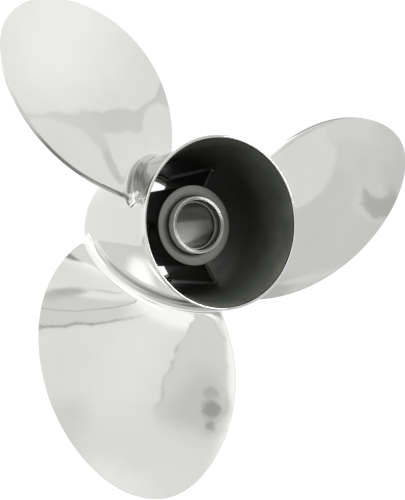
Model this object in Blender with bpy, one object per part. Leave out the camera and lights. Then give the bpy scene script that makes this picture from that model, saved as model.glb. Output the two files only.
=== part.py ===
"""Three-blade outboard boat propeller with its exhaust barrel, in polished cast stainless steel.

Metres. The shaft runs along Y, +Y points ahead, +Z up. The origin is on the shaft axis, in the
plane of the inner hub's forward face, where the propeller bears on the shaft's thrust washer.
The real propeller is one casting. It is held here as named pieces with a hairline seam between.
"""

import math

import bmesh
import bpy
from mathutils import Matrix, Vector

SEAM = 0.0003
FULL_TURN = 2 * math.pi
BLADE_COUNT = 3
SHARP_ANGLE = math.radians(35)
STATION_CROWDING = 1.5

# Exhaust barrel, measured along the shaft from its aft rim
BARREL_LENGTH = 0.126
BARREL_AHEAD_OF_HUB = 0.006
RIM_OUTER_RADIUS = 0.0572
RIM_INNER_RADIUS = 0.0554
RIM_ROUND = 0.0004
FLARE_LENGTH = 0.018
SHELL_AFT_RADIUS = 0.0536
SHELL_FRONT_RADIUS = 0.0485
SHELL_TAPER_POWER = 2.0
MOUTH_DEPTH = 0.060
MOUTH_TAPER_POWER = 1.6
PASSAGE_AFT_RADIUS = 0.0469
PASSAGE_FRONT_RADIUS = 0.0446
LIP_AFT_STATION = 0.1185
LIP_GROOVE_RADIUS = 0.043
LIP_GROOVE_STATION = 0.120
LIP_RADIUS = 0.039
LIP_CONE_STATION = 0.1238
FRONT_EDGE_BREAK = 0.001
BARREL_STATIONS = 18
BARREL_SEGMENTS = 72

# Inner hub, whose aft face is set back inside the barrel
HUB_AFT_STATION = 0.0408
HUB_RADIUS = 0.0280
HUB_EDGE_BREAK = 0.0008
COLLAR_RADIUS = 0.0198
COLLAR_HEIGHT = 0.0064
COLLAR_ROUND = 0.0006
COLLAR_ROUND_POINTS = 2
COLLAR_END_RADIUS = 0.0175
GROOVE_RADIUS = 0.0045
GROOVE_DEPTH = 0.0016
GROOVE_POINTS = 6
BORE_MOUTH_RADIUS = 0.0171
BORE_MOUTH_CONE = 0.0004
BORE_MOUTH_DEPTH = 0.0056
BORE_RADIUS = 0.0155
THRUST_CONE_RADIUS = 0.019
THRUST_CONE_DEPTH = 0.012
HUB_SEGMENTS = 64

# Ribs that carry the barrel from the inner hub
RIB_ANGLE = math.radians(61.5)
RIB_AFT_STATION = 0.055
RIB_FRONT_STATION = 0.1175
RIB_AFT_THICKNESS = 0.0028
RIB_FRONT_THICKNESS = 0.0062
RIB_EDGE_ROUND = 0.0009
RIB_EDGE_SEGMENTS = 2

# Blades, whose root chord lies along a helix on the barrel
BLADE_ANGLE = math.radians(116.5)
BLADE_ROOT_RADIUS = 0.0545
BLADE_TIP_RADIUS = 0.1844
BLADE_ROOT_STATION = 0.0722
HALF_CHORD_ROOT = 0.785
HALF_CHORD_SLOPE = -0.213
HALF_CHORD_CURVE = -0.232
HALF_CHORD_TIP = 0.101
SWEEP_SLOPE = 0.463
SWEEP_CURVE = -0.241
SWEEP_TIP = 0.120
RAKE_SLOPE = -0.0200
RAKE_CURVE = -0.0011
ROOT_PITCH = 0.336
TIP_PITCH = 0.435
LEADING_EDGE_ROOT = 0.0016
LEADING_EDGE_TIP = 0.0012
TRAILING_EDGE_ROOT = 0.0040
TRAILING_EDGE_TIP = 0.0020
SECTION_SWELL_ROOT = 0.0060
SECTION_SWELL_TIP = 0.0008
FILLET_RADIUS = 0.007
FILLET_STATIONS = 5
BLADE_STATIONS = 22
SECTION_POINTS = 19
NOSE_POINTS = 3
NUDGE = 1e-3
ROOT_INSET = 0.007
TIP_STATION_ANGLE = math.radians(88.6)

# Colours and roughness of the steel, buffed, turned and as cast
POLISHED_STEEL = (0.80, 0.80, 0.785, 1.0)
MACHINED_STEEL = (0.42, 0.425, 0.41, 1.0)
CAST_STEEL = (0.20, 0.205, 0.195, 1.0)
BARREL_ROUGHNESS = 0.15
BLADE_ROUGHNESS = 0.12
MACHINED_ROUGHNESS = 0.4
CAST_ROUGHNESS = 0.5


def clear_scene():
    """Remove every object of the scene the script starts in."""
    for old in list(bpy.data.objects):
        bpy.data.objects.remove(old, do_unlink=True)


def along(station):
    """Y of a point this far ahead of the barrel's aft rim."""
    return station + BARREL_AHEAD_OF_HUB - BARREL_LENGTH


def steel(name, colour, roughness):
    """A metal material of this colour and roughness."""
    material = bpy.data.materials.new(name)
    material.use_nodes = True
    shader = material.node_tree.nodes["Principled BSDF"]
    shader.inputs["Base Color"].default_value = colour
    shader.inputs["Roughness"].default_value = roughness
    shader.inputs["Metallic"].default_value = 1.0
    return material


def linked(name, mesh_data, material, collection):
    """An object of this bmesh, with its normals facing out, in the collection."""
    bmesh.ops.recalc_face_normals(mesh_data, faces=mesh_data.faces[:])
    mesh = bpy.data.meshes.new(name)
    mesh_data.to_mesh(mesh)
    mesh_data.free()
    piece = bpy.data.objects.new(name, mesh)
    collection.objects.link(piece)
    mesh.shade_smooth()
    mesh.set_sharp_from_angle(angle=SHARP_ANGLE)
    if material:
        mesh.materials.append(material)
    return piece


def helper(piece):
    """Keep a cutting shape out of the render."""
    piece.hide_render = True
    piece.display_type = "WIRE"
    return piece


def combine(piece, cutter, operation):
    """Cut the piece with the cutter, or keep only what lies inside it."""
    modifier = piece.modifiers.new(cutter.name, "BOOLEAN")
    modifier.operation = operation
    modifier.solver = "EXACT"
    modifier.object = cutter


def turned(name, profile, segments, material, collection):
    """A solid turned about the Y axis from a closed profile of radius and station."""
    mesh_data = bmesh.new()
    ring = [mesh_data.verts.new((radius, along(station), 0)) for radius, station in profile]
    edges = [mesh_data.edges.new((a, b)) for a, b in zip(ring, ring[1:] + ring[:1])]
    bmesh.ops.spin(
        mesh_data,
        geom=ring + edges,
        cent=(0, 0, 0),
        axis=(0, 1, 0),
        angle=FULL_TURN,
        steps=segments,
        use_merge=True,
    )
    return linked(name, mesh_data, material, collection)


def flare(station):
    """How far the rim's flare is still open at this station, from 1 down to 0."""
    return max(0.0, 1 - station / FLARE_LENGTH) ** 2


def barrel_outside(station):
    """Outer radius of the barrel."""
    taper = 1 - (station / BARREL_LENGTH) ** SHELL_TAPER_POWER
    shell = SHELL_FRONT_RADIUS + (SHELL_AFT_RADIUS - SHELL_FRONT_RADIUS) * taper
    return shell + (RIM_OUTER_RADIUS - SHELL_AFT_RADIUS) * flare(station)


def barrel_inside(station):
    """Inner radius of the barrel, aft of the lip: a tapered mouth, then the exhaust passage."""
    depth = min(1.0, station / MOUTH_DEPTH)
    mouth = (RIM_INNER_RADIUS - PASSAGE_AFT_RADIUS) * (1 - depth) ** MOUTH_TAPER_POWER
    along_passage = max(0.0, station - MOUTH_DEPTH) / (LIP_AFT_STATION - MOUTH_DEPTH)
    passage = (PASSAGE_FRONT_RADIUS - PASSAGE_AFT_RADIUS) * along_passage
    return PASSAGE_AFT_RADIUS + mouth + passage


def stations(start, end, count):
    """Stations from start to end, closer together near the start."""
    shares = [(step / count) ** STATION_CROWDING for step in range(count + 1)]
    return [start + (end - start) * share for share in shares]


def barrel_profile():
    """Barrel wall, with the flared rim aft and the coned lip at its forward end."""
    front = BARREL_LENGTH
    outer_end = front - FRONT_EDGE_BREAK
    outer = [
        (barrel_outside(s) - (0 if s else RIM_ROUND), s)
        for s in stations(0, outer_end, BARREL_STATIONS)
    ]
    outer.insert(1, (barrel_outside(RIM_ROUND), RIM_ROUND))
    inner = [(barrel_inside(s), s) for s in stations(0, LIP_AFT_STATION, BARREL_STATIONS)]
    lip = [
        (SHELL_FRONT_RADIUS - FRONT_EDGE_BREAK, front),
        (LIP_RADIUS + FRONT_EDGE_BREAK, front),
        (LIP_RADIUS, front - FRONT_EDGE_BREAK),
        (LIP_RADIUS, LIP_CONE_STATION),
        (LIP_GROOVE_RADIUS, LIP_GROOVE_STATION),
    ]
    return outer + lip + inner[::-1]


def hub_profile():
    """Inner hub with its proud collar and the groove round it, the stepped bore and the cone."""
    aft = HUB_AFT_STATION
    front = BARREL_LENGTH - BARREL_AHEAD_OF_HUB
    outer = [
        (HUB_RADIUS, front - HUB_EDGE_BREAK),
        (HUB_RADIUS, aft + HUB_EDGE_BREAK),
        (HUB_RADIUS - HUB_EDGE_BREAK, aft),
    ]
    groove = []
    for step in range(GROOVE_POINTS + 1):
        turn = math.pi / 2 * step / GROOVE_POINTS
        radius = COLLAR_RADIUS + GROOVE_RADIUS * (1 - math.sin(turn))
        groove.append((radius, aft + GROOVE_DEPTH * (1 - math.cos(turn))))
    end = aft - COLLAR_HEIGHT
    collar = []
    for step in range(COLLAR_ROUND_POINTS + 1):
        turn = math.pi / 2 * step / COLLAR_ROUND_POINTS
        radius = COLLAR_RADIUS - COLLAR_ROUND * (1 - math.cos(turn))
        collar.append((radius, end + COLLAR_ROUND * (1 - math.sin(turn))))
    collar += [(COLLAR_END_RADIUS, end), (BORE_MOUTH_RADIUS, end + BORE_MOUTH_CONE)]
    bore = [
        (BORE_MOUTH_RADIUS, end + BORE_MOUTH_DEPTH),
        (BORE_RADIUS, end + BORE_MOUTH_DEPTH),
        (BORE_RADIUS, front - THRUST_CONE_DEPTH),
        (THRUST_CONE_RADIUS, front),
        (HUB_RADIUS - HUB_EDGE_BREAK, front),
    ]
    return outer + groove + collar + bore


def exhaust_space_profile():
    """Space the ribs may fill: between hub and barrel, a seam clear of both."""
    inner = HUB_RADIUS + SEAM
    wall = [
        (barrel_inside(s) - SEAM, s)
        for s in stations(RIB_AFT_STATION - RIB_EDGE_ROUND, LIP_AFT_STATION, BARREL_STATIONS)
    ]
    return [(inner, LIP_AFT_STATION), (inner, RIB_AFT_STATION - RIB_EDGE_ROUND)] + wall


def rib(name, angle, space, material, collection):
    """A drafted rib from the inner hub out to the barrel wall, thinner at its aft edge."""
    mesh_data = bmesh.new()
    bmesh.ops.create_cube(mesh_data, size=1.0)
    for vert in mesh_data.verts:
        aft = vert.co.y < 0
        thick = RIB_AFT_THICKNESS if aft else RIB_FRONT_THICKNESS
        radius = BORE_RADIUS if vert.co.x < 0 else RIM_OUTER_RADIUS
        station = RIB_AFT_STATION if aft else RIB_FRONT_STATION
        vert.co = (radius, along(station), math.copysign(thick / 2, vert.co.z))
    ends = [e for e in mesh_data.edges if abs(e.verts[0].co.x - e.verts[1].co.x) > SEAM]
    bmesh.ops.bevel(
        mesh_data,
        geom=ends,
        offset=RIB_EDGE_ROUND,
        offset_type="OFFSET",
        segments=RIB_EDGE_SEGMENTS,
        profile=0.5,
        affect="EDGES",
        material=-1,
    )
    bmesh.ops.rotate(mesh_data, matrix=Matrix.Rotation(-angle, 3, "Y"), verts=mesh_data.verts[:])
    piece = linked(name, mesh_data, material, collection)
    combine(piece, space, "INTERSECT")
    return piece


def blade_point(span, chord, angle):
    """Point of the blade's driving face. Chord runs from -1, leading, to +1, trailing."""
    radius = BLADE_ROOT_RADIUS + (BLADE_TIP_RADIUS - BLADE_ROOT_RADIUS) * span
    half = HALF_CHORD_ROOT + HALF_CHORD_SLOPE * span
    half += HALF_CHORD_CURVE * span**2 + HALF_CHORD_TIP * span**3
    half *= math.sqrt(max(0.0, 1 - span**2))
    sweep = SWEEP_SLOPE * span + SWEEP_CURVE * span**2 + SWEEP_TIP * span**3
    turn = sweep + chord * half
    rake = RAKE_SLOPE * span + RAKE_CURVE * span**2
    pitch = ROOT_PITCH + (TIP_PITCH - ROOT_PITCH) * span
    station = BLADE_ROOT_STATION + rake - pitch * turn / FULL_TURN
    around = angle + turn
    return Vector((radius * math.cos(around), along(station), radius * math.sin(around)))


def blade_normal(span, chord, angle):
    """Unit normal of the driving face, pointing ahead to the back of the blade."""
    up = blade_point(span + NUDGE, chord, angle) - blade_point(span - NUDGE, chord, angle)
    back = blade_point(span, chord + NUDGE, angle) - blade_point(span, chord - NUDGE, angle)
    normal = up.cross(back).normalized()
    return normal if normal.y > 0 else -normal


def blend(root, tip, span):
    """A size that changes evenly from root to tip."""
    return root + (tip - root) * max(0.0, span)


def thickness(span, chord):
    """Blade thickness: thin leading edge, swell near the middle, blunt trailing edge."""
    lead = blend(LEADING_EDGE_ROOT, LEADING_EDGE_TIP, span)
    trail = blend(TRAILING_EDGE_ROOT, TRAILING_EDGE_TIP, span)
    swell = blend(SECTION_SWELL_ROOT, SECTION_SWELL_TIP, span)
    return lead + (trail - lead) * (1 + chord) / 2 + swell * (1 - chord**2)


def fillet(point):
    """How far the root fillet thickens each face at this point."""
    outside = barrel_outside(point.y - along(0))
    clear = math.hypot(point.x, point.z) - outside
    rest = min(max(FILLET_RADIUS - clear, 0.0), FILLET_RADIUS)
    return FILLET_RADIUS - math.sqrt(FILLET_RADIUS**2 - rest**2)


def section_outline(span, angle):
    """Points round the bare blade at one span: face, trailing edge, back, then the nose."""
    face = []
    back = []
    beyond = min(span, math.sin(TIP_STATION_ANGLE) - 2 * NUDGE)
    for step in range(SECTION_POINTS):
        chord = -math.cos(math.pi * step / (SECTION_POINTS - 1))
        point = blade_point(span, chord, angle)
        normal = blade_normal(beyond, chord, angle)
        face.append(point)
        back.append(point + normal * thickness(span, chord))
    trailing = [face[-1].lerp(back[-1], 0.5)]
    middle = face[0].lerp(back[0], 0.5)
    radius = (back[0] - face[0]) / 2
    chordwise = blade_point(span, -1, angle) - blade_point(span, -1 + NUDGE, angle)
    ahead = chordwise.normalized() * radius.length
    nose = []
    for step in range(1, NOSE_POINTS + 1):
        turn = math.pi * step / (NOSE_POINTS + 1)
        nose.append(middle + radius * math.cos(turn) + ahead * math.sin(turn))
    return face + trailing + back[::-1] + nose


def blade_section(mesh_data, span, angle):
    """Closed ring of vertices round the blade at one span, thickened by the root fillet."""
    outline = section_outline(span, angle)
    ring = []
    for number, point in enumerate(outline):
        extra = fillet(point)
        if extra:
            along_ring = outline[(number + 1) % len(outline)] - outline[number - 1]
            radial = Vector((point.x, 0, point.z))
            point = point + radial.cross(along_ring).normalized() * extra
        ring.append(mesh_data.verts.new(point))
    return ring, [mesh_data.edges.new((a, b)) for a, b in zip(ring, ring[1:] + ring[:1])]


def blade_spans():
    """Spans of the sections: inside the barrel, through the fillet, then out to the tip."""
    height = BLADE_TIP_RADIUS - BLADE_ROOT_RADIUS
    inner = [-ROOT_INSET / height]
    low = (SHELL_FRONT_RADIUS - BLADE_ROOT_RADIUS) / height
    high = FILLET_RADIUS / height
    inner += [low + (high - low) * step / FILLET_STATIONS for step in range(FILLET_STATIONS)]
    first = math.asin(high)
    reach = TIP_STATION_ANGLE - first
    outer = [math.sin(first + reach * step / BLADE_STATIONS) for step in range(BLADE_STATIONS + 1)]
    return inner + outer


def blade(name, angle, barrel_space, material, collection):
    """A blade lofted through its sections, cut off a seam clear of the barrel."""
    mesh_data = bmesh.new()
    rings = [blade_section(mesh_data, span, angle) for span in blade_spans()]
    for (_, near), (_, far) in zip(rings, rings[1:]):
        bmesh.ops.bridge_loops(mesh_data, edges=near + far)
    mesh_data.faces.new(rings[0][0])
    mesh_data.faces.new(rings[-1][0][::-1])
    piece = linked(name, mesh_data, material, collection)
    combine(piece, barrel_space, "DIFFERENCE")
    return piece


def build():
    """Model the propeller."""
    clear_scene()
    collection = bpy.context.scene.collection
    root = bpy.data.objects.new("propeller", None)
    collection.objects.link(root)

    pieces = [
        turned(
            "exhaust_barrel",
            barrel_profile(),
            BARREL_SEGMENTS,
            steel("barrel_polished_steel", POLISHED_STEEL, BARREL_ROUGHNESS),
            collection,
        ),
        turned(
            "inner_hub",
            hub_profile(),
            HUB_SEGMENTS,
            steel("hub_machined_steel", MACHINED_STEEL, MACHINED_ROUGHNESS),
            collection,
        ),
    ]

    space = helper(
        turned("exhaust_space", exhaust_space_profile(), BARREL_SEGMENTS, None, collection)
    )
    outside = [
        (barrel_outside(s) + SEAM, s)
        for s in stations(0, BARREL_LENGTH, BARREL_STATIONS)
    ]
    closed = [(BORE_RADIUS, BARREL_LENGTH), (BORE_RADIUS, 0)]
    barrel_space = helper(
        turned("barrel_space", outside + closed, BARREL_SEGMENTS, None, collection)
    )

    for number in range(BLADE_COUNT):
        turn = FULL_TURN * number / BLADE_COUNT
        pieces.append(
            rib(
                f"rib_{number + 1}",
                RIB_ANGLE + turn,
                space,
                steel(f"rib_{number + 1}_cast_steel", CAST_STEEL, CAST_ROUGHNESS),
                collection,
            )
        )
        pieces.append(
            blade(
                f"blade_{number + 1}",
                BLADE_ANGLE + turn,
                barrel_space,
                steel(f"blade_{number + 1}_polished_steel", POLISHED_STEEL, BLADE_ROUGHNESS),
                collection,
            )
        )

    for piece in pieces + [space, barrel_space]:
        piece.parent = root


if __name__ == "__main__":
    build()
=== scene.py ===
"""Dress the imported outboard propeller: cast and polished steel surfaces, studio and camera."""

import math

import bmesh
import bpy
from mathutils import Matrix, Vector


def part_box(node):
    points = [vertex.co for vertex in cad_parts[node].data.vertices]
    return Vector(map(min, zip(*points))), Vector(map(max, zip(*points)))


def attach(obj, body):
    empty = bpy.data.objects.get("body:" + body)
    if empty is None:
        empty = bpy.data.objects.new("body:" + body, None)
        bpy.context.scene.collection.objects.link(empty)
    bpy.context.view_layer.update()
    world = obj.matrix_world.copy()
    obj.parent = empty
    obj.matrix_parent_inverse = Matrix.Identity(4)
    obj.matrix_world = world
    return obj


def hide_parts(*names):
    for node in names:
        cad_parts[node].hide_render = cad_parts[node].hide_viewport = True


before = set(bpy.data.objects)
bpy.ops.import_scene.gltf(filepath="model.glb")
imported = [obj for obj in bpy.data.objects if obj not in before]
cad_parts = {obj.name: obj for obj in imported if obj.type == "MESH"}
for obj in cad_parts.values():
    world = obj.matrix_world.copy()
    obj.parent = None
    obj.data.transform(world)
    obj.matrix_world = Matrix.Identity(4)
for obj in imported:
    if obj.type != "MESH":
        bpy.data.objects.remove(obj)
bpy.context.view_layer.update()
BARREL_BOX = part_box("exhaust_barrel")
HUB_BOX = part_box("inner_hub")

bl_info = {
    "name": "Outboard Propeller",
    "version": (1, 0, 0),
    "blender": (4, 5, 0),
    "location": "3D View > Sidebar > Propeller",
    "description": "Builds a polished three-blade outboard propeller and its studio",
    "category": "Add Mesh",
}

FULL_TURN = 2 * math.pi
QUARTER = math.pi / 2
BLADES = 3
RIBS = 3
AFT_RIM = BARREL_BOX[0].y
FORWARD_END = BARREL_BOX[1].y
HUB_FORWARD_FACE = HUB_BOX[1].y

# Small sizes of the castings, in metres. Stations are measured ahead of the aft rim.
RIM_END = 0.0012  # where the rounded rim passes into the walls
RIM_BLUNTNESS = 0.8
WALL_RINGS = 60
MOUTH_CURVE = 1.6  # how soon the mouth's taper levels out
EDGE_ROUND = 0.001  # at the barrel's forward end
LIP_AFT = 0.1242
LIP_BREAK = (0.0005, 0.0008)  # across and along the shaft
CONE_RADIUS = 0.0431  # aft end of the lip's cone
CONE_AFT = 0.1199
CONE_BREAK = 0.0004
CONE_STEP = 0.0003
CONE_FILLET = 0.0016
CAST_END = 0.1195  # the casting skin stops here, and the polish begins
PASSAGE_END = 0.1172  # last ring of the passage's wall
PASSAGE_TAPER_END = 0.1185
HUB_CHAMFER = 0.0008
HUB_ROUND = 0.0007
HUB_CAST_EDGE = 0.0003  # how far onto that rounding the casting skin reaches
GROOVE_WIDTH = 0.0045
GROOVE_DEPTH = 0.0016
COLLAR_ROUND = (0.0005, 0.0006)  # across and along the shaft
EDGE_BREAK = 0.0002
COUNTERBORE_DEPTH = 0.0056
COUNTERBORE_ROUND = 0.0003
BORE_LEAD_IN = ((0.0005, 0.0), (0.0001, 0.0002), (0.0, 0.0006))  # across and along
BORE_RUN_IN = 0.011
FORWARD_CONE_LENGTH = 0.012
FORWARD_CONE_RADIUS = 0.0192
FORWARD_CONE_BREAK = 0.0004
RIB_SINK = 0.0004  # how far a rib reaches into the hub and the barrel
RIB_CUTS = (24, 12)  # across the passage and along the shaft
RIB_EDGE_ROUND = 0.0009
RIB_EDGE_ANGLE = math.radians(60)  # an edge that turns further than this is rounded
SHORT_EDGE = 0.0025
NEAR = 0.0001  # tolerance where faces are sorted by place

# Points of one ring round a blade: along each side, across the tail and round the nose.
SIDE_POINTS = 72
TAIL_SHARES = (0.06, 0.2, 0.4, 0.6, 0.8, 0.94)
TAIL_BOW = 0.12
NOSE_POINTS = 6
# Rings of a blade: up the root fillet, and on to just short of the tip's single point.
FILLET_RINGS = 14
SPAN_RINGS = 64
LAST_RING = math.radians(89.0)
FOOT_SINK = 0.0004  # share of the blade's height that the foot reaches into the barrel
SPAN_ROUNDS = 6  # rounds that settle a span, since the barrel tapers under it
TIP_SPAN = 0.99975
STEADY_SPAN = 0.9985  # past this span the tip's outline is too short to take a normal from

SHARP_ANGLE = math.radians(40)
FLOOR_RADIUS = 8.0
BACKDROP_LIGHT = 1.05


class BarrelSizes(bpy.types.PropertyGroup):
    """Sizes of the exhaust barrel, with stations measured ahead of the aft rim."""

    rim_outer_radius: bpy.props.FloatProperty(
        name="Rim outer radius",
        description="Largest radius, at the flared aft rim",
        default=0.0572,
        unit="LENGTH",
    )
    rim_inner_radius: bpy.props.FloatProperty(
        name="Rim inner radius",
        description="Radius of the mouth at the aft rim",
        default=0.0554,
        unit="LENGTH",
    )
    flare_length: bpy.props.FloatProperty(
        name="Flare length",
        description="Length over which the outside flares out to the rim",
        default=0.018,
        unit="LENGTH",
    )
    shell_aft_radius: bpy.props.FloatProperty(
        name="Shell aft radius",
        description="Outer radius at the aft end, without the flare",
        default=0.0536,
        unit="LENGTH",
    )
    shell_front_radius: bpy.props.FloatProperty(
        name="Shell front radius",
        description="Outer radius at the forward end",
        default=0.0485,
        unit="LENGTH",
    )
    mouth_depth: bpy.props.FloatProperty(
        name="Mouth depth",
        description="Depth over which the mouth tapers to the exhaust passage",
        default=0.060,
        unit="LENGTH",
    )
    passage_aft_radius: bpy.props.FloatProperty(
        name="Passage aft radius",
        description="Inner radius where the mouth's taper ends",
        default=0.0469,
        unit="LENGTH",
    )
    passage_front_radius: bpy.props.FloatProperty(
        name="Passage front radius",
        description="Inner radius just aft of the lip",
        default=0.0446,
        unit="LENGTH",
    )
    lip_radius: bpy.props.FloatProperty(
        name="Lip radius",
        description="Radius of the opening in the lip at the forward end",
        default=0.039,
        unit="LENGTH",
    )
    segments: bpy.props.IntProperty(
        name="Segments",
        description="Steps round the barrel",
        default=192,
        min=24,
    )


class HubSizes(bpy.types.PropertyGroup):
    """Sizes of the inner hub, its collar and its bore."""

    radius: bpy.props.FloatProperty(
        name="Hub radius",
        description="Outer radius of the inner hub",
        default=0.028,
        unit="LENGTH",
    )
    aft_station: bpy.props.FloatProperty(
        name="Aft face station",
        description="How far the hub's aft face is set back inside the barrel",
        default=0.0408,
        unit="LENGTH",
    )
    collar_radius: bpy.props.FloatProperty(
        name="Collar radius",
        description="Outer radius of the collar round the bore",
        default=0.0198,
        unit="LENGTH",
    )
    collar_height: bpy.props.FloatProperty(
        name="Collar height",
        description="How far the collar stands proud of the aft face",
        default=0.0064,
        unit="LENGTH",
    )
    collar_taper: bpy.props.FloatProperty(
        name="Collar taper",
        description="How far the collar's side leans in towards its face",
        default=0.0003,
        unit="LENGTH",
    )
    mouth_radius: bpy.props.FloatProperty(
        name="Bore mouth radius",
        description="Radius of the counterbore inside the collar",
        default=0.0171,
        unit="LENGTH",
    )
    bore_radius: bpy.props.FloatProperty(
        name="Bore radius",
        description="Radius of the shaft bore",
        default=0.0155,
        unit="LENGTH",
    )
    segments: bpy.props.IntProperty(
        name="Segments",
        description="Steps round the hub",
        default=144,
        min=24,
    )


class RibSizes(bpy.types.PropertyGroup):
    """Sizes of the ribs between the inner hub and the barrel."""

    angle: bpy.props.FloatProperty(
        name="First rib angle",
        description="Turn of the first rib about the shaft, from the right as seen from aft",
        default=math.radians(61.5),
        subtype="ANGLE",
    )
    aft_station: bpy.props.FloatProperty(
        name="Aft edge station",
        description="How far ahead of the aft rim the ribs begin",
        default=0.055,
        unit="LENGTH",
    )
    front_station: bpy.props.FloatProperty(
        name="Front edge station",
        description="How far ahead of the aft rim the ribs end",
        default=0.1175,
        unit="LENGTH",
    )
    aft_thickness: bpy.props.FloatProperty(
        name="Aft thickness",
        description="Rib thickness at its aft edge",
        default=0.0028,
        unit="LENGTH",
    )
    front_thickness: bpy.props.FloatProperty(
        name="Front thickness",
        description="Rib thickness at its forward edge",
        default=0.0062,
        unit="LENGTH",
    )
    fillet: bpy.props.FloatProperty(
        name="Rib fillet",
        description="Radius of the cast fillets at the ends of a rib",
        default=0.003,
        unit="LENGTH",
    )


class BladeSizes(bpy.types.PropertyGroup):
    """Outline, twist, rake and section of the blades."""

    angle: bpy.props.FloatProperty(
        name="First blade angle",
        description="Turn of the first blade's root about the shaft",
        default=math.radians(116.5),
        subtype="ANGLE",
    )
    root_radius: bpy.props.FloatProperty(
        name="Root radius",
        description="Radius that the blade's outline is measured from",
        default=0.0545,
        unit="LENGTH",
    )
    tip_radius: bpy.props.FloatProperty(
        name="Tip radius",
        description="Radius of the blade tips",
        default=0.1844,
        unit="LENGTH",
    )
    root_station: bpy.props.FloatProperty(
        name="Root station",
        description="Middle of the root chord, ahead of the aft rim",
        default=0.0722,
        unit="LENGTH",
    )
    half_chord: bpy.props.FloatVectorProperty(
        name="Half chord",
        description="Half chord angle at the root, then its change along the span",
        default=(0.785, -0.213, -0.232, 0.101),
        size=4,
    )
    sweep: bpy.props.FloatVectorProperty(
        name="Sweep",
        description="How the middle of the blade sweeps back along the span",
        default=(0.463, -0.241, 0.120),
        size=3,
    )
    rake: bpy.props.FloatVectorProperty(
        name="Rake",
        description="How the blade leans aft along the span",
        default=(-0.0200, -0.0011),
        size=2,
        unit="LENGTH",
    )
    pitch: bpy.props.FloatVectorProperty(
        name="Pitch",
        description="Advance in one turn, at the root and at the tip",
        default=(0.336, 0.435),
        size=2,
        unit="LENGTH",
    )
    leading_edge: bpy.props.FloatVectorProperty(
        name="Leading edge",
        description="Thickness of the leading edge, at the root and at the tip",
        default=(0.0016, 0.0012),
        size=2,
        unit="LENGTH",
    )
    trailing_edge: bpy.props.FloatVectorProperty(
        name="Trailing edge",
        description="Thickness of the blunt trailing edge, at the root and at the tip",
        default=(0.0040, 0.0020),
        size=2,
        unit="LENGTH",
    )
    swell: bpy.props.FloatVectorProperty(
        name="Swell",
        description="Extra thickness at mid chord, at the root and at the tip",
        default=(0.0060, 0.0008),
        size=2,
        unit="LENGTH",
    )
    fillet: bpy.props.FloatProperty(
        name="Root fillet",
        description="Radius of the cast fillet between blade and barrel",
        default=0.008,
        unit="LENGTH",
    )


class SteelColours(bpy.types.PropertyGroup):
    """Colours of the steel surfaces."""

    polished: bpy.props.FloatVectorProperty(
        name="Polished steel",
        description="Buffed blades and outside of the barrel",
        default=(0.62, 0.62, 0.607),
        subtype="COLOR",
    )
    cast: bpy.props.FloatVectorProperty(
        name="Cast steel",
        description="Dark unpolished surface inside the barrel",
        default=(0.075, 0.080, 0.066),
        subtype="COLOR",
    )
    machined: bpy.props.FloatVectorProperty(
        name="Machined steel",
        description="Turned aft face of the inner hub",
        default=(0.185, 0.187, 0.176),
        subtype="COLOR",
    )
    collar: bpy.props.FloatVectorProperty(
        name="Collar steel",
        description="Brightly faced collar round the bore",
        default=(0.34, 0.34, 0.33),
        subtype="COLOR",
    )
    bore: bpy.props.FloatVectorProperty(
        name="Bore steel",
        description="Dull reamed bore",
        default=(0.155, 0.155, 0.149),
        subtype="COLOR",
    )
    # Pale colour of the collar's side: painted light that stands in for the light falling on it
    satin: bpy.props.FloatVectorProperty(
        name="Satin steel",
        description="Pale side of the collar",
        default=(0.85, 0.85, 0.83),
        subtype="COLOR",
    )


class StudioLook(bpy.types.PropertyGroup):
    """Camera and floor of the studio."""

    camera_place: bpy.props.FloatVectorProperty(
        name="Camera place",
        description="Where the camera stands",
        default=(-0.2933, -0.6319, -0.0320),
        size=3,
        subtype="TRANSLATION",
    )
    camera_turn: bpy.props.FloatProperty(
        name="Camera turn",
        description="Turn of the camera from straight ahead towards the right",
        default=math.radians(28.45),
        subtype="ANGLE",
    )
    camera_tilt: bpy.props.FloatProperty(
        name="Camera tilt",
        description="How far the camera looks up",
        default=math.radians(1.37),
        subtype="ANGLE",
    )
    focal_length: bpy.props.FloatProperty(
        name="Focal length",
        description="Focal length in millimetres on a 36 mm sensor",
        default=65.32,
        subtype="DISTANCE_CAMERA",
    )
    floor_drop: bpy.props.FloatProperty(
        name="Floor height",
        description="Height of the studio floor",
        default=-0.42,
        unit="LENGTH",
    )


ROOM_LIGHT = 1.10
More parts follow.
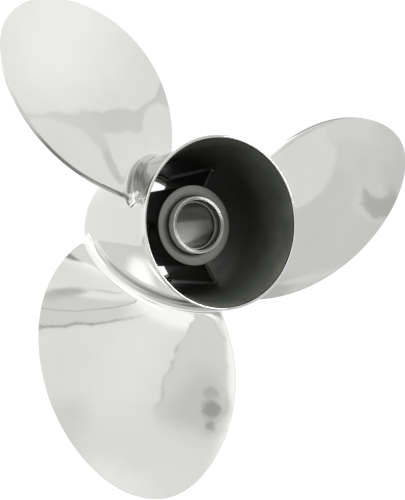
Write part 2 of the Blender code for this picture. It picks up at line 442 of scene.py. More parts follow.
# Oval patches of the surroundings, in degrees as the propeller sees them: azimuth from the
# camera's side towards its right, elevation, half width, half height and tilt, then the
# softness and the raggedness of the edge, and the brightness. A later patch covers an
# earlier one.
DIFFUSERS = (
    (0, -90, 44, 44, 0, 0.25, 0.0, 0.32),
    (-137, -34, 32, 22, 0, 0.05, 0.0, 0.25),
    (-12, 38, 34, 16, 0, 0.5, 0.0, 1.22),
    (12, 51, 15, 9, 0, 0.3, 0.0, 1.0),
    (-3.3, 13, 47.5, 30.43, 42.4, 0.005, 0.0, 0.3),
    (-3.3, 12.4, 47.65, 30.59, 42.4, 0.005, 0.0, 1.15),
    (-10, 36, 16, 8, 0, 0.8, 0.0, 1.22),
    (-98, 36, 33, 45, 0, 0.10, 0.0, 2.0),
    (-98, 2, 20, 12, 0, 0.3, 0.0, 1.6),
    (-101, 17, 2.4, 13, -20, 0.6, 0.0, 1.15),
    (-92, 28.5, 2.4, 8, -100, 0.6, 0.0, 1.4),
    (-128, 52, 34, 38, 0, 0.10, 0.0, 1.9),
    (168, 66, 24, 24, 0, 0.10, 0.0, 0.62),
    (144, 68, 9, 8, 0, 0.5, 0.0, 0.36),
    (-145, 17, 11, 6, 0, 0.35, 0.0, 1.08),
    (-46, 22, 25, 46, 0, 0.10, 0.0, 1.48),
    (-34, 30, 5, 10, -15, 0.5, 0.0, 2.4),
    (-36, 7, 3, 4, 0, 0.5, 0.0, 0.7),
    (-36, -30, 20, 12, 0, 0.4, 0.0, 0.75),
    (-26, -1, 5, 5, 0, 0.3, 0.0, 0.62),
    (103.4, 15, 26, 16.4, -1.6, 0.02, 0.0, 0.94),
    (129, 2, 12, 11, 0, 0.06, 0.0, 1.12),
    (98.9, 19.2, 22.5, 13.1, -15.9, 0.02, 0.0, 0.86),
    (98.9, 19.2, 22, 12.6, -15.9, 0.02, 0.0, 1.13),
    (97.5, 22, 11, 8, 0, 0.8, 0.0, 1.34),
    (128.5, 32.5, 2, 7.5, -63, 0.4, 0.0, 0.86),
    (117, 28.8, 1.8, 5, -85, 0.4, 0.0, 0.97),
    (64, 12, 17, 18, 0, 0.3, 0.0, 0.42),
    (67, 13, 9, 6, -35, 0.05, 0.0, 11.0),
    (20.5, 29, 3.2, 4.5, 0, 0.6, 0.0, 1.02),
    (-8, 16, 20.3, 8.2, 16, 0.02, 0.06, 0.78),
    (-8, 16, 19.8, 7.8, 16, 0.02, 0.06, 1.02),
    (4, 17, 9, 4.5, 15, 0.7, 0.0, 0.88),
    (15, 20, 6, 9, 0, 0.35, 0.0, 1.13),
    (20.5, 20.5, 2.5, 5, 0, 0.8, 0.0, 1.27),
    (1.2, 14.3, 1.3, 1.8, 0, 0.2, 0.03, 0.7),
    (4.2, 14.6, 1.2, 1.6, -20, 0.2, 0.03, 0.52),
    (6.8, 14.0, 0.9, 0.9, 0, 0.3, 0.03, 0.55),
    (-6, 5, 24, 3.5, 16, 0.25, 0.0, 1.45),
    (-27, -2, 5, 5, 0, 0.3, 0.0, 0.62),
    (38, -40, 32, 22, 0, 0.05, 0.05, 0.905),
    (75, -34, 9, 3.6, 0, 0.5, 0.03, 0.96),
    (80, -32.0, 6.5, 2.0, 0, 0.4, 0.03, 1.02),
    (95, -45, 17, 12, 0, 0.03, 0.03, 1.07),
    (96, -32.6, 13, 0.5, -6, 0.5, 0.0, 0.86),
    (28, -46, 6, 3, 0, 0.5, 0.0, 0.74),
    (39.5, -43.2, 0.8, 6.3, -46, 0.4, 0.0, 1.0),
    (62, -33.8, 4.6, 3.5, 0, 0.08, 0.03, 1.0),
    (62.4, -33.6, 4.2, 2.9, 0, 0.05, 0.03, 0.66),
    (66.0, -33.3, 4.6, 3.0, 0, 0.08, 0.05, 0.93),
    (63.6, -31.2, 2.4, 1.7, 0, 0.5, 0.0, 0.85),
    (180, 25, 14, 30, 0, 0.3, 0.0, 0.75),
)

GROUPS = {
    "propeller_barrel": BarrelSizes,
    "propeller_hub": HubSizes,
    "propeller_ribs": RibSizes,
    "propeller_blades": BladeSizes,
    "propeller_steel": SteelColours,
    "propeller_studio": StudioLook,
}


def along(station):
    """Y of a point this far ahead of the barrel's aft rim."""
    return AFT_RIM + station


def lerp(start, end, share):
    """The value this share of the way from start to end."""
    return start + (end - start) * share


def arc(turn, steps):
    """Cosine and sine of evenly spaced angles from 0 to a turn."""
    angles = [turn * step / steps for step in range(steps + 1)]
    return [(math.cos(angle), math.sin(angle)) for angle in angles]


def spread(start, end, count, power=1.0):
    """Values from start to end, which a higher power crowds towards the start."""
    return [start + (end - start) * (step / count) ** power for step in range(count + 1)]


def barrel_outside(sizes, station):
    """Outer radius of the barrel at a station."""
    length = FORWARD_END - AFT_RIM
    taper = 1 - min(1.0, max(0.0, station / length)) ** 2
    shell = lerp(sizes.shell_front_radius, sizes.shell_aft_radius, taper)
    flare = max(0.0, 1 - station / sizes.flare_length) ** 2
    return shell + (sizes.rim_outer_radius - sizes.shell_aft_radius) * flare


def barrel_inside(sizes, station):
    """Inner radius of the barrel at a station aft of the lip."""
    depth = min(1.0, station / sizes.mouth_depth)
    mouth = (sizes.rim_inner_radius - sizes.passage_aft_radius) * (1 - depth) ** MOUTH_CURVE
    ahead = max(0.0, station - sizes.mouth_depth) / (PASSAGE_TAPER_END - sizes.mouth_depth)
    return mouth + lerp(sizes.passage_aft_radius, sizes.passage_front_radius, ahead)


def place(name, mesh_data, materials, nodes):
    """Make an object of the bmesh that rides on the propeller and stands for the nodes."""
    mesh = bpy.data.meshes.new(name)
    mesh_data.to_mesh(mesh)
    mesh_data.free()
    for material in materials:
        mesh.materials.append(material)
    mesh.shade_smooth()
    mesh.set_sharp_from_angle(angle=SHARP_ANGLE)
    piece = bpy.data.objects.new(name, mesh)
    bpy.context.scene.collection.objects.link(piece)
    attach(piece, "root")
    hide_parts(*nodes)


def turned(profile, segments):
    """A bmesh turned about the shaft from a closed profile of radius and station."""
    mesh_data = bmesh.new()
    ring = [mesh_data.verts.new((radius, along(station), 0)) for radius, station in profile]
    edges = [mesh_data.edges.new((a, b)) for a, b in zip(ring, ring[1:] + ring[:1])]
    bmesh.ops.spin(
        mesh_data,
        geom=ring + edges,
        cent=(0, 0, 0),
        axis=(0, 1, 0),
        angle=FULL_TURN,
        steps=segments,
        use_merge=True,
    )
    bmesh.ops.recalc_face_normals(mesh_data, faces=mesh_data.faces[:])
    return mesh_data


def place_of(face):
    """A face's distance from the shaft and its station."""
    centre = face.calc_center_median()
    return math.hypot(centre.x, centre.z), centre.y - AFT_RIM


def faces_shaft(face):
    """Whether a face looks in towards the shaft."""
    centre = face.calc_center_median()
    return face.normal.x * centre.x + face.normal.z * centre.z < 0


def node_tree(name):
    """A new metal material, its node tree and its shader."""
    material = bpy.data.materials.new(name)
    material.use_nodes = True
    tree = material.node_tree
    shader = tree.nodes["Principled BSDF"]
    shader.inputs["Metallic"].default_value = 1.0
    return material, tree, shader


def object_place(tree):
    """Object coordinates."""
    return tree.nodes.new("ShaderNodeTexCoord").outputs["Object"]


def object_pattern(tree, scale=(1, 1, 1)):
    """Object coordinates through a Mapping node."""
    mapping = tree.nodes.new("ShaderNodeMapping")
    mapping.inputs["Scale"].default_value = scale
    tree.links.new(object_place(tree), mapping.inputs["Vector"])
    return mapping.outputs["Vector"]


def noise(tree, vector, scale, detail=2.0, roughness=0.5, output="Fac"):
    """A noise pattern."""
    node = tree.nodes.new("ShaderNodeTexNoise")
    node.inputs["Scale"].default_value = scale
    node.inputs["Detail"].default_value = detail
    node.inputs["Roughness"].default_value = roughness
    tree.links.new(vector, node.inputs["Vector"])
    return node.outputs[output]


def maths(tree, operation, value, *numbers):
    """A value worked on by one Math node with these numbers."""
    node = tree.nodes.new("ShaderNodeMath")
    node.operation = operation
    tree.links.new(value, node.inputs[0])
    for socket, number in enumerate(numbers, 1):
        node.inputs[socket].default_value = number
    return node.outputs["Value"]


def vector_maths(tree, operation, vector, *vectors, output="Vector"):
    """A vector worked on by one Vector Math node with these vectors."""
    node = tree.nodes.new("ShaderNodeVectorMath")
    node.operation = operation
    tree.links.new(vector, node.inputs[0])
    for socket, other in enumerate(vectors, 1):
        node.inputs[socket].default_value = other
    return node.outputs[output]


def between(tree, value, low, high):
    """The value mapped from 0.3 to 0.7 onto low to high."""
    node = tree.nodes.new("ShaderNodeMapRange")
    node.inputs["From Min"].default_value = 0.3
    node.inputs["From Max"].default_value = 0.7
    node.inputs["To Min"].default_value = low
    node.inputs["To Max"].default_value = high
    tree.links.new(value, node.inputs["Value"])
    return node.outputs["Result"]


def tint(tree, value, colour, dark, light):
    """The colour made darker or lighter by the value, between two factors."""
    node = tree.nodes.new("ShaderNodeValToRGB")
    for stop, position, factor in zip(node.color_ramp.elements, (0.3, 0.7), (dark, light)):
        stop.position = position
        stop.color = (*(min(1.0, channel * factor) for channel in colour), 1.0)
    tree.links.new(value, node.inputs["Fac"])
    return node.outputs["Color"]


def bump(tree, height, strength, distance, under=None):
    """A bump, on top of another one if there is one under it."""
    node = tree.nodes.new("ShaderNodeBump")
    node.inputs["Strength"].default_value = strength
    node.inputs["Distance"].default_value = distance
    tree.links.new(height, node.inputs["Height"])
    if under:
        tree.links.new(under, node.inputs["Normal"])
    return node.outputs["Normal"]


def surface(tree, shader, colour, roughness, normal=None):
    """Wire a surface's patterns into its shader."""
    tree.links.new(colour, shader.inputs["Base Color"])
    tree.links.new(roughness, shader.inputs["Roughness"])
    if normal:
        tree.links.new(normal, shader.inputs["Normal"])


def polished_steel(colour):
    """Buffed steel: nearly mirror bright, a little wavy from hand polishing, with fine haze."""
    material, tree, shader = node_tree("polished_steel")
    vector = object_pattern(tree)
    haze = noise(tree, vector, 18.0, 3.0)
    grain = noise(tree, object_pattern(tree, (1, 6, 1)), 260.0, 3.0, 0.6)
    waves = bump(tree, noise(tree, vector, 26.0, 1.5), 0.30, 0.0012)
    surface(
        tree,
        shader,
        tint(tree, haze, colour, 0.97, 1.02),
        between(tree, grain, 0.03, 0.06),
        bump(tree, grain, 0.03, 0.0002, waves),
    )
    return material


def painted_interior_shade(tree):
    """Painted shade on the casting skin: a factor that is paler at the mouth, and darker deeper
    inside the barrel and towards the top, where shade falls.
    """
    fade = 0.020  # metres ahead of the rim; the painted shade deepens with depth, and upwards a fifth as fast
    slope = (0, -1 / fade, -0.2 / fade)
    height = vector_maths(tree, "DOT_PRODUCT", object_place(tree), slope, output="Value")
    # Brightening of the painted light at the mouth, and the level of the painted shade deep
    # inside
    mouth_brightening_painted, deep_shade_painted = 2.5, 0.34
    decay = maths(tree, "EXPONENT", maths(tree, "ADD", height, AFT_RIM / fade))
    return maths(tree, "MULTIPLY_ADD", decay, mouth_brightening_painted, deep_shade_painted)


def cast_steel(colour):
    """Unpolished casting skin: dark, matt and finely pitted, with painted light that makes it
    paler at the mouth and painted shade that darkens it deeper inside and towards the top.
    """
    material, tree, shader = node_tree("cast_steel")
    shader.inputs["Metallic"].default_value = 0.6
    vector = object_pattern(tree)
    blotch = noise(tree, vector, 40.0, 4.0)
    skin = tree.nodes.new("ShaderNodeVectorMath")
    skin.operation = "SCALE"
    tree.links.new(tint(tree, blotch, colour, 0.8, 1.3), skin.inputs["Vector"])
    # The skin's colour is scaled by the painted light and shade of the barrel's inside
    tree.links.new(painted_interior_shade(tree), skin.inputs["Scale"])
    grain = noise(tree, vector, 900.0, 3.0, 0.6)
    surface(
        tree,
        shader,
        skin.outputs["Vector"],
        between(tree, blotch, 0.42, 0.58),
        bump(tree, grain, 0.25, 0.0003),
    )
    return material


def turning_marks(tree, pitch):
    """A wave with the distance from the shaft, as a lathe tool leaves it."""
    flat = vector_maths(tree, "MULTIPLY", object_place(tree), (1, 0, 1))
    radius = vector_maths(tree, "LENGTH", flat, output="Value")
    return maths(tree, "SINE", maths(tree, "MULTIPLY", radius, FULL_TURN / pitch))


def machined_steel(colour):
    """Turned steel gone dull: grey, with rings from the tool and a few stains."""
    material, tree, shader = node_tree("machined_steel")
    stain = noise(tree, object_pattern(tree), 90.0, 4.0)
    surface(
        tree,
        shader,
        tint(tree, stain, colour, 0.9, 1.12),
        between(tree, stain, 0.5, 0.6),
        bump(tree, turning_marks(tree, 0.0004), 0.08, 0.00005),
    )
    return material


def collar_steel(colour):
    """Bright steel faced in a lathe, which spreads a highlight across the tool's rings."""
    material, tree, shader = node_tree("collar_steel")
    shader.inputs["Anisotropic"].default_value = 1.0
    shader.inputs["Anisotropic Rotation"].default_value = 0.25
    rings = tree.nodes.new("ShaderNodeTangent")
    rings.direction_type = "RADIAL"
    rings.axis = "Y"
    tree.links.new(rings.outputs["Tangent"], shader.inputs["Tangent"])
    haze = noise(tree, object_pattern(tree), 160.0, 3.0)
    surface(
        tree,
        shader,
        tint(tree, haze, colour, 0.85, 1.1),
        between(tree, haze, 0.22, 0.25),
        bump(tree, turning_marks(tree, 0.0003), 0.05, 0.00004),
    )
    return material


def bore_steel(colour):
    """Dull reamed steel inside the bore, with stains and lengthwise marks."""
    material, tree, shader = node_tree("bore_steel")
    stain = noise(tree, object_pattern(tree, (1, 0.4, 1)), 130.0, 4.0, 0.6)
    marks = noise(tree, object_pattern(tree, (1, 0.05, 1)), 900.0, 2.0)
    surface(
        tree,
        shader,
        tint(tree, stain, colour, 0.75, 1.25),
        between(tree, stain, 0.24, 0.32),
        bump(tree, marks, 0.15, 0.0001),
    )
    return material


def painted_lit_steel(colour):
    """Mostly diffuse steel on the collar's side, whose pale colour is painted light standing in
    for the light falling on the side.
    """
    material, tree, shader = node_tree("painted_lit_steel")
    shader.inputs["Metallic"].default_value = 0.2
    haze = noise(tree, object_pattern(tree), 160.0, 3.0)
    surface(
        tree, shader, tint(tree, haze, colour, 0.9, 1.08), between(tree, haze, 0.5, 0.6)
    )
    return material


def shared_steel(kind):
    """One of the steel materials, made once."""
    steel = bpy.context.scene.propeller_steel
    makers = {
        "polished_steel": (polished_steel, steel.polished),
        "cast_steel": (cast_steel, steel.cast),
        "machined_steel": (machined_steel, steel.machined),
        "collar_steel": (collar_steel, steel.collar),
        "bore_steel": (bore_steel, steel.bore),
        "painted_lit_steel": (painted_lit_steel, steel.satin),
    }
    make, colour = makers[kind]
    return bpy.data.materials.get(kind) or make(tuple(colour))


class PROPELLER_OT_exhaust_barrel(bpy.types.Operator):
    """Turn the exhaust barrel: flared rim, tapered shell, dark passage and coned lip."""

    bl_idname = "propeller.exhaust_barrel"
    bl_label = "Exhaust Barrel"

    def execute(self, context):
        sizes = context.scene.propeller_barrel
        length = FORWARD_END - AFT_RIM
        half_wall = (sizes.rim_outer_radius - sizes.rim_inner_radius) / 2
        middle = (sizes.rim_outer_radius + sizes.rim_inner_radius) / 2
        rim = [
            (middle - half_wall * across, half_wall * (1 - out) * RIM_BLUNTNESS)
            for across, out in arc(math.pi, 8)
        ]
        outer_end = length - EDGE_ROUND
        stations = spread(RIM_END, outer_end, WALL_RINGS, 1.5)
        outer = [(barrel_outside(sizes, station), station) for station in stations]
        front = sizes.shell_front_radius
        edge = [
            (front - EDGE_ROUND * (1 - across), outer_end + EDGE_ROUND * out)
            for across, out in arc(QUARTER, 4)[1:]
        ]
        lip = [
            (sizes.lip_radius + EDGE_ROUND, length),
            (sizes.lip_radius + 0.3 * EDGE_ROUND, length - 0.3 * EDGE_ROUND),
            (sizes.lip_radius, outer_end),
            (sizes.lip_radius, LIP_AFT),
            (sizes.lip_radius + LIP_BREAK[0], LIP_AFT - LIP_BREAK[1]),
            (CONE_RADIUS - CONE_BREAK, CONE_AFT + CONE_BREAK),
            (CONE_RADIUS, CONE_AFT),
        ]
        fillet_end = CONE_AFT - CONE_STEP
        fillet = [
            (CONE_RADIUS + CONE_FILLET * out, fillet_end - CONE_FILLET * (1 - across))
            for across, out in arc(QUARTER, 6)
        ]
        stations = spread(RIM_END, PASSAGE_END, WALL_RINGS, 1.3)
        inner = [(barrel_inside(sizes, station), station) for station in stations]
        profile = rim + outer + edge + lip + fillet + inner[::-1]
        mesh_data = turned(profile, sizes.segments)
        cast = 1
        for face in mesh_data.faces:
            radius, station = place_of(face)
            inside = RIM_END < station < CAST_END and radius < sizes.rim_inner_radius
            if inside and faces_shaft(face):
                face.material_index = cast
        place(
            "exhaust_barrel_shell",
            mesh_data,
            [shared_steel("polished_steel"), shared_steel("cast_steel")],
            ["exhaust_barrel"],
        )
        return {"FINISHED"}


class PROPELLER_OT_inner_hub(bpy.types.Operator):
    """Turn the inner hub: grey aft face, groove, bright collar and stepped bore."""

    bl_idname = "propeller.inner_hub"
    bl_label = "Inner Hub"

    def execute(self, context):
        sizes = context.scene.propeller_hub
        front = HUB_FORWARD_FACE - AFT_RIM
        aft = sizes.aft_station
        end = aft - sizes.collar_height
        outer = [(sizes.radius - HUB_CHAMFER, front)]
        outer += [(sizes.radius, s) for s in spread(front - HUB_CHAMFER, aft + HUB_ROUND, 12)]
        corner = [
            (sizes.radius - HUB_ROUND * (1 - across), aft + HUB_ROUND * (1 - out))
            for across, out in arc(QUARTER, 4)[1:]
        ]
        groove = [
            (sizes.collar_radius + GROOVE_WIDTH * (1 - out), aft + GROOVE_DEPTH * (1 - across))
            for across, out in arc(QUARTER, 10)
        ]
        wide, long = COLLAR_ROUND
        side_end = sizes.collar_radius - sizes.collar_taper
        face_edge = side_end - wide
        shares = (0, 0.25, 0.5, 0.75, 1)
        collar = [
            (lerp(sizes.collar_radius, side_end, share), lerp(aft, end + long, share))
            for share in shares
        ]
        collar += [
            (face_edge + wide * across, end + long * (1 - out))
            for across, out in arc(QUARTER, 4)[1:]
        ]
        mouth_edge = sizes.mouth_radius + EDGE_BREAK
        collar += [(lerp(face_edge, mouth_edge, share), end) for share in shares[1:]]
        floor = end + COUNTERBORE_DEPTH
        mouth = [
            (sizes.mouth_radius, end + EDGE_BREAK),
            (sizes.mouth_radius, floor - COUNTERBORE_ROUND),
            (sizes.mouth_radius - COUNTERBORE_ROUND, floor),
        ]
        mouth += [(sizes.bore_radius + out, floor + ahead) for out, ahead in BORE_LEAD_IN]
        bore_end = front - FORWARD_CONE_LENGTH
        bore = [(sizes.bore_radius, s) for s in spread(end + BORE_RUN_IN, bore_end, 10)]
        cone = [
            (FORWARD_CONE_RADIUS - FORWARD_CONE_BREAK, front - FORWARD_CONE_BREAK),
            (FORWARD_CONE_RADIUS, front),
        ]
        profile = outer + corner + groove + collar + mouth + bore + cone
        mesh_data = turned(profile, sizes.segments)
        cast, bright, bored, satin = 1, 2, 3, 4
        for face in mesh_data.faces:
            radius, station = place_of(face)
            if radius > sizes.radius - HUB_CAST_EDGE and station > aft:
                face.material_index = cast
            elif radius < sizes.mouth_radius + NEAR and end < station < front - NEAR:
                face.material_index = bored
            elif radius < face_edge and station < end + NEAR:
                face.material_index = bright
            # The collar's side takes the steel whose pale colour is painted light
            elif radius < sizes.collar_radius + NEAR and station < aft:
                face.material_index = satin
        place(
            "inner_hub_body",
            mesh_data,
            [
                shared_steel("machined_steel"),
                shared_steel("cast_steel"),
                shared_steel("collar_steel"),
                shared_steel("bore_steel"),
                shared_steel("painted_lit_steel"),
            ],
            ["inner_hub"],
        )
        return {"FINISHED"}


class PROPELLER_OT_ribs(bpy.types.Operator):
    """Shape the ribs between hub and barrel, with draft and cast fillets."""

    bl_idname = "propeller.ribs"
    bl_label = "Ribs"

    def execute(self, context):
        sizes = context.scene.propeller_ribs
        barrel = context.scene.propeller_barrel
        hub = context.scene.propeller_hub
        for number in range(RIBS):
            angle = sizes.angle + FULL_TURN * number / RIBS
            mesh_data = bmesh.new()
            bmesh.ops.create_cube(mesh_data, size=1.0)
            for axis, cuts in enumerate(RIB_CUTS):
                bmesh.ops.subdivide_edges(
                    mesh_data,
                    edges=[e for e in mesh_data.edges if self.spans(e)[axis] > 0.5],
                    cuts=cuts,
                )
            for vert in mesh_data.verts:
                vert.co = self.cast_point(vert.co, sizes, hub, barrel)
            ends = [
                e
                for e in mesh_data.edges
                if len(e.link_faces) == 2
                and e.calc_face_angle() > RIB_EDGE_ANGLE
                and max(self.spans(e)[1:]) < SHORT_EDGE
            ]
            bmesh.ops.bevel(
                mesh_data,
                geom=ends,
                offset=RIB_EDGE_ROUND,
                offset_type="OFFSET",
                segments=3,
                profile=0.5,
                affect="EDGES",
                material=-1,
            )
            bmesh.ops.rotate(
                mesh_data, matrix=Matrix.Rotation(-angle, 3, "Y"), verts=mesh_data.verts[:]
            )
            bmesh.ops.recalc_face_normals(mesh_data, faces=mesh_data.faces[:])
            place(
                f"rib_{number + 1}_casting",
                mesh_data,
                [shared_steel("cast_steel")],
                [f"rib_{number + 1}"],
            )
        return {"FINISHED"}

    def spans(self, edge):
        """How far an edge reaches along each axis."""
        near, far = (vert.co for vert in edge.verts)
        return [abs(a - b) for a, b in zip(near, far)]

    def cast_point(self, place_in_cube, sizes, hub, barrel):
        """Where a point of the unit cube lies on the rib, before the rib is turned."""
        share = place_in_cube.y + 0.5
        station = lerp(sizes.aft_station, sizes.front_station, share)
        inner = hub.radius - RIB_SINK
        outer = barrel_inside(barrel, station) + RIB_SINK
        reach = 0.5 - 0.5 * math.cos(math.pi * (place_in_cube.x + 0.5))
        radius = lerp(inner, outer, reach)
        near = min(radius - inner, outer - radius) - RIB_SINK
        rest = min(max(sizes.fillet - near, 0.0), sizes.fillet)
        extra = sizes.fillet - math.sqrt(sizes.fillet**2 - rest**2)
        thick = lerp(sizes.aft_thickness, sizes.front_thickness, share)
        side = math.copysign(thick / 2 + extra, place_in_cube.z)
        if share in (0.0, 1.0):
            station += extra * (share * 2 - 1)
        flat = math.sqrt(max(radius**2 - side**2, 0.0)) if extra else radius
        return (flat, along(station), side)


class BladeForm:
    """The blade's driving face, section and root fillet as functions of place."""

    def __init__(self, blades, barrel, angle):
        self.sizes = blades
        self.barrel = barrel
        self.angle = angle
        self.height = blades.tip_radius - blades.root_radius

    def face_point(self, span, chord):
        """Point of the driving face. Chord runs from -1, leading, to +1, trailing."""
        sizes = self.sizes
        radius = sizes.root_radius + self.height * span
        base, slope, curve, end = sizes.half_chord
        half = base + slope * span + curve * span**2 + end * span**3
        half *= math.sqrt(max(0.0, 1 - span**2))
        first, second, third = sizes.sweep
        turn = first * span + second * span**2 + third * span**3 + chord * half
        lean = sizes.rake[0] * span + sizes.rake[1] * span**2
        pitch = lerp(*sizes.pitch, span)
        station = sizes.root_station + lean - pitch * turn / FULL_TURN
        around = self.angle + turn
        return Vector((radius * math.cos(around), along(station), radius * math.sin(around)))

    def normal(self, span, chord):
        """Unit normal of the driving face, towards the blade's back."""
        small = 1e-3
        span = min(span, STEADY_SPAN)
        up = self.face_point(span + small, chord) - self.face_point(span - small, chord)
        back = self.face_point(span, chord + small) - self.face_point(span, chord - small)
        normal = up.cross(back).normalized()
        return normal if normal.y > 0 else -normal

    def thickness(self, span, chord):
        """Blade thickness at a place."""
        share = max(0.0, span)
        lead = lerp(*self.sizes.leading_edge, share)
        trail = lerp(*self.sizes.trailing_edge, share)
        swell = lerp(*self.sizes.swell, share)
        return lead + (trail - lead) * (1 + chord) / 2 + swell * (1 - chord**2)

    def span_at(self, rise, chord):
        """Span of the point that lies this share of the way from the barrel to the tip."""
        span = 0.0
        for _ in range(SPAN_ROUNDS):
            station = self.face_point(span, chord).y - AFT_RIM
            foot = barrel_outside(self.barrel, station)
            radius = foot + (self.sizes.tip_radius - foot) * rise
            span = (radius - self.sizes.root_radius) / self.height
        return min(span, TIP_SPAN)

    def outline(self, rise):
        """Closed ring of points round the bare blade at one height."""
        face = []
        back = []
        for step in range(SIDE_POINTS):
            chord = -math.cos(math.pi * step / (SIDE_POINTS - 1))
            span = self.span_at(rise, chord)
            point = self.face_point(span, chord)
            face.append(point)
            back.append(point + self.normal(span, chord) * self.thickness(span, chord))
        return (
            face
            + self.trailing(face[-1], back[-1], face[-2])
            + back[::-1]
            + self.nose(back[0], face[0], face[1])
        )

    def trailing(self, face, back, inner):
        """Points across the blunt trailing edge, bowed a little."""
        outward = (face - inner).normalized() * (back - face).length * TAIL_BOW
        return [
            face.lerp(back, share) + outward * (1 - (2 * share - 1) ** 4)
            for share in TAIL_SHARES
        ]

    def nose(self, back, face, inner):
        """Points round the leading edge."""
        middle = back.lerp(face, 0.5)
        radius = (back - face) / 2
        ahead = (face - inner).normalized() * radius.length
        return [
            middle + radius * across + ahead * out
            for across, out in arc(math.pi, NOSE_POINTS + 1)[1:-1]
        ]

    def clearance(self, point):
        """Height of a point above the barrel's outside."""
        outside = barrel_outside(self.barrel, point.y - AFT_RIM)
        return math.hypot(point.x, point.z) - outside

    def ring(self, mesh_data, rise):
        """Edges round the blade at one height, with the root fillet."""
        outline = self.outline(rise)
        fillet = self.sizes.fillet
        verts = []
        for number, point in enumerate(outline):
            height = self.clearance(point)
            rest = min(max(fillet - height, 0.0), fillet)
            if rest:
                extra = fillet - math.sqrt(fillet**2 - rest**2)
                along_ring = outline[(number + 1) % len(outline)] - outline[number - 1]
                radial = Vector((point.x, 0, point.z))
                point = point + radial.cross(along_ring).normalized() * extra
                outside = barrel_outside(self.barrel, point.y - AFT_RIM)
                flat = Vector((point.x, 0, point.z)).normalized() * (outside + height)
                point = Vector((flat.x, point.y, flat.z))
            verts.append(mesh_data.verts.new(point))
        return [mesh_data.edges.new(pair) for pair in zip(verts, verts[1:] + verts[:1])]

    def rises(self):
        """Heights of the rings, as shares of the way from the barrel to the tip."""
        low = self.sizes.fillet / (self.sizes.tip_radius - self.barrel.shell_aft_radius)
        first = math.asin(low)
        foot = [low * (1 - across) - FOOT_SINK for across, _ in arc(QUARTER, FILLET_RINGS)]
        steps = range(SPAN_RINGS + 1)
        turns = [first + (LAST_RING - first) * step / SPAN_RINGS for step in steps]
        return foot[:-1] + [math.sin(turn) for turn in turns]

    def sides(self, ring):
        """A ring's edges along the driving face and along the back, without its two ends."""
        back = SIDE_POINTS + len(TAIL_SHARES)
        return ring[: SIDE_POINTS - 1] + ring[back : back + SIDE_POINTS - 1]


class PROPELLER_OT_blades(bpy.types.Operator):
    """Loft the swept blades with their thin noses, blunt tails and root fillets."""

    bl_idname = "propeller.blades"
    bl_label = "Blades"

    def execute(self, context):
        sizes = context.scene.propeller_blades
        barrel = context.scene.propeller_barrel
        for number in range(BLADES):
            form = BladeForm(sizes, barrel, sizes.angle + FULL_TURN * number / BLADES)
            mesh_data = bmesh.new()
            rings = [form.ring(mesh_data, rise) for rise in form.rises()]
            for near, far in zip(rings, rings[1:]):
                bmesh.ops.bridge_loops(mesh_data, edges=near + far)
            bmesh.ops.bridge_loops(mesh_data, edges=form.sides(rings[0]))
            bmesh.ops.holes_fill(mesh_data, edges=mesh_data.edges[:], sides=0)
            bmesh.ops.recalc_face_normals(mesh_data, faces=mesh_data.faces[:])
            place(
                f"blade_{number + 1}_surface",
                mesh_data,
                [shared_steel("polished_steel")],
                [f"blade_{number + 1}"],
            )
        return {"FINISHED"}


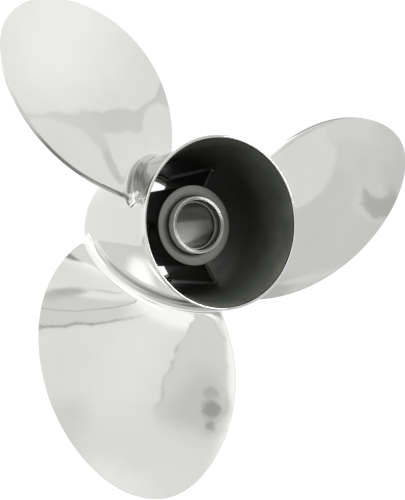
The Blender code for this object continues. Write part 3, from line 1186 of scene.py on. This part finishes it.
class PROPELLER_OT_studio(bpy.types.Operator):
    """Set the pale floor, the soft lights and the camera."""

    bl_idname = "propeller.studio"
    bl_label = "Studio"

    def execute(self, context):
        look = context.scene.propeller_studio
        scene = context.scene
        self.sweep_floor(look)
        scene.world = self.studio_air(look)
        scene.view_settings.view_transform = "Standard"
        scene.view_settings.look = "None"
        self.take_view(scene, look)
        return {"FINISHED"}

    def sweep_floor(self, look):
        """A wide, plain, pale floor."""
        mesh_data = bmesh.new()
        bmesh.ops.create_circle(mesh_data, cap_ends=True, segments=96, radius=FLOOR_RADIUS)
        bmesh.ops.translate(mesh_data, vec=(0, 0, look.floor_drop), verts=mesh_data.verts[:])
        mesh = bpy.data.meshes.new("studio_floor")
        mesh_data.to_mesh(mesh)
        mesh_data.free()
        paper = bpy.data.materials.new("pale_paper")
        paper.use_nodes = True
        shader = paper.node_tree.nodes["Principled BSDF"]
        shader.inputs["Base Color"].default_value = (0.95, 0.95, 0.945, 1.0)
        shader.inputs["Roughness"].default_value = 0.9
        mesh.materials.append(paper)
        floor = bpy.data.objects.new("studio_floor", mesh)
        bpy.context.scene.collection.objects.link(floor)
        floor.visible_glossy = False

    def studio_air(self, look):
        """Soft white light all round, with brighter diffusers and greyer openings."""
        world = bpy.data.worlds.new("studio_air")
        world.use_nodes = True
        tree = world.node_tree
        background = tree.nodes["Background"]
        ray = tree.nodes.new("ShaderNodeTexCoord").outputs["Generated"]
        level = None
        for azimuth, elevation, wide, high, tilt, soft, ragged, bright in DIFFUSERS:
            view = self.ragged(tree, ray, ragged) if ragged else ray
            mask = self.patch(tree, view, look, azimuth, elevation, wide, high, tilt, soft)
            mix = tree.nodes.new("ShaderNodeMix")
            mix.data_type = "FLOAT"
            tree.links.new(mask, mix.inputs["Factor"])
            mix.inputs["A"].default_value = ROOM_LIGHT
            mix.inputs["B"].default_value = bright
            if level:
                tree.links.new(level, mix.inputs["A"])
            level = mix.outputs["Result"]
        path = tree.nodes.new("ShaderNodeLightPath")
        seen = tree.nodes.new("ShaderNodeMix")
        seen.data_type = "FLOAT"
        tree.links.new(path.outputs["Is Camera Ray"], seen.inputs["Factor"])
        tree.links.new(level, seen.inputs["A"])
        seen.inputs["B"].default_value = BACKDROP_LIGHT
        tree.links.new(seen.outputs["Result"], background.inputs["Strength"])
        background.inputs["Color"].default_value = (1.0, 1.0, 0.995, 1.0)
        return world

    def ragged(self, tree, ray, amount):
        """The direction shaken a little, which gives a patch an uneven edge."""
        shake = noise(tree, ray, 18.0, 3.0, output="Color")
        centred = vector_maths(tree, "SUBTRACT", shake, (0.5, 0.5, 0.5))
        moved = tree.nodes.new("ShaderNodeVectorMath")
        moved.operation = "MULTIPLY_ADD"
        moved.inputs[1].default_value = (amount, amount, amount)
        tree.links.new(centred, moved.inputs[0])
        tree.links.new(ray, moved.inputs[2])
        return moved.outputs["Vector"]

    def patch(self, tree, ray, look, azimuth, elevation, wide, high, tilt, soft):
        """How far a direction lies inside an oval patch of the surroundings."""
        turn = math.radians(azimuth) - look.camera_turn - QUARTER
        rise = math.radians(elevation)
        middle = Vector(
            (math.cos(turn) * math.cos(rise), math.sin(turn) * math.cos(rise), math.sin(rise))
        )
        facing = Matrix.Rotation(turn, 3, "Z") @ Matrix.Rotation(-rise, 3, "Y")
        facing = facing @ Matrix.Rotation(math.radians(tilt), 3, "X")
        oval = tree.nodes.new("ShaderNodeMapping")
        oval.vector_type = "TEXTURE"
        oval.inputs["Location"].default_value = middle
        oval.inputs["Rotation"].default_value = facing.to_euler()
        oval.inputs["Scale"].default_value = (
            1.0,
            math.sin(math.radians(wide)),
            math.sin(math.radians(high)),
        )
        tree.links.new(ray, oval.inputs["Vector"])
        size = vector_maths(tree, "LENGTH", oval.outputs["Vector"], output="Value")
        edge = tree.nodes.new("ShaderNodeMapRange")
        edge.interpolation_type = "SMOOTHSTEP"
        edge.inputs["From Min"].default_value = 1.0 + soft
        edge.inputs["From Max"].default_value = 1.0 - soft
        tree.links.new(size, edge.inputs["Value"])
        return edge.outputs["Result"]

    def take_view(self, scene, look):
        """The camera at the photograph's viewing angle."""
        data = bpy.data.cameras.new("view_camera")
        data.lens = look.focal_length
        data.sensor_width = 36.0
        data.clip_start = 0.01
        camera = bpy.data.objects.new("view_camera", data)
        camera.location = look.camera_place
        camera.rotation_euler = (QUARTER + look.camera_tilt, 0, -look.camera_turn)
        scene.collection.objects.link(camera)
        scene.camera = camera


class PROPELLER_PT_panel(bpy.types.Panel):
    """The propeller's pieces and studio in the 3D view's sidebar."""

    bl_label = "Outboard Propeller"
    bl_idname = "PROPELLER_PT_panel"
    bl_space_type = "VIEW_3D"
    bl_region_type = "UI"
    bl_category = "Propeller"

    def draw(self, context):
        layout = self.layout
        for group, kind in GROUPS.items():
            box = layout.box()
            settings = getattr(context.scene, group)
            for name in kind.__annotations__:
                box.prop(settings, name)
        for operator in OPERATORS:
            layout.operator(operator.bl_idname)


OPERATORS = (
    PROPELLER_OT_exhaust_barrel,
    PROPELLER_OT_inner_hub,
    PROPELLER_OT_ribs,
    PROPELLER_OT_blades,
    PROPELLER_OT_studio,
)


def register():
    """Register the settings, the operators and the panel."""
    for name, kind in GROUPS.items():
        bpy.utils.register_class(kind)
        setattr(bpy.types.Scene, name, bpy.props.PointerProperty(type=kind))
    for kind in OPERATORS + (PROPELLER_PT_panel,):
        bpy.utils.register_class(kind)


def unregister():
    """Take the panel, the operators and the settings away."""
    for kind in reversed(OPERATORS + (PROPELLER_PT_panel,)):
        bpy.utils.unregister_class(kind)
    for name, kind in reversed(GROUPS.items()):
        delattr(bpy.types.Scene, name)
        bpy.utils.unregister_class(kind)


def main():
    """Build the propeller and its studio."""
    register()
    bpy.ops.propeller.exhaust_barrel()
    bpy.ops.propeller.inner_hub()
    bpy.ops.propeller.ribs()
    bpy.ops.propeller.blades()
    bpy.ops.propeller.studio()


if __name__ == "__main__":
    main()
